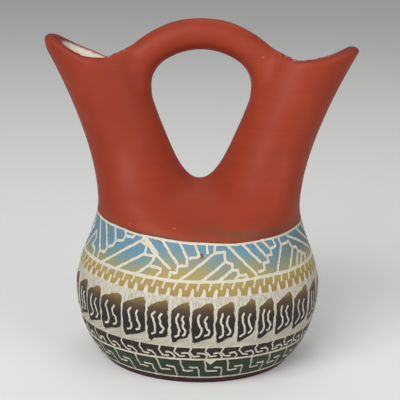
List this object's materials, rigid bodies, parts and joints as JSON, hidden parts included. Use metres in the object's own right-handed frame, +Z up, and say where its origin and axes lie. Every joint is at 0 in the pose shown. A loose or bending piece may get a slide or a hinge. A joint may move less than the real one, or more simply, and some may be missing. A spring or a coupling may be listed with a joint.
{
  "type": "wedding vase",
  "caption": "Round-bellied pottery vase with two leaning spouts joined by an arched handle, with etched bands of pattern round the belly.",
  "frame": {"origin": "centre of the flat foot, on the surface that the vase stands on", "axes": "+Z up, +X to the right through both mouths, -Y to the front as in the picture"},
  "size_m": [0.1848, 0.147, 0.203],
  "materials": {
    "fired_clay": "satin"
  },
  "bodies": {
    "root": {"vase": "fired_clay"}
  },
  "joints": []
}
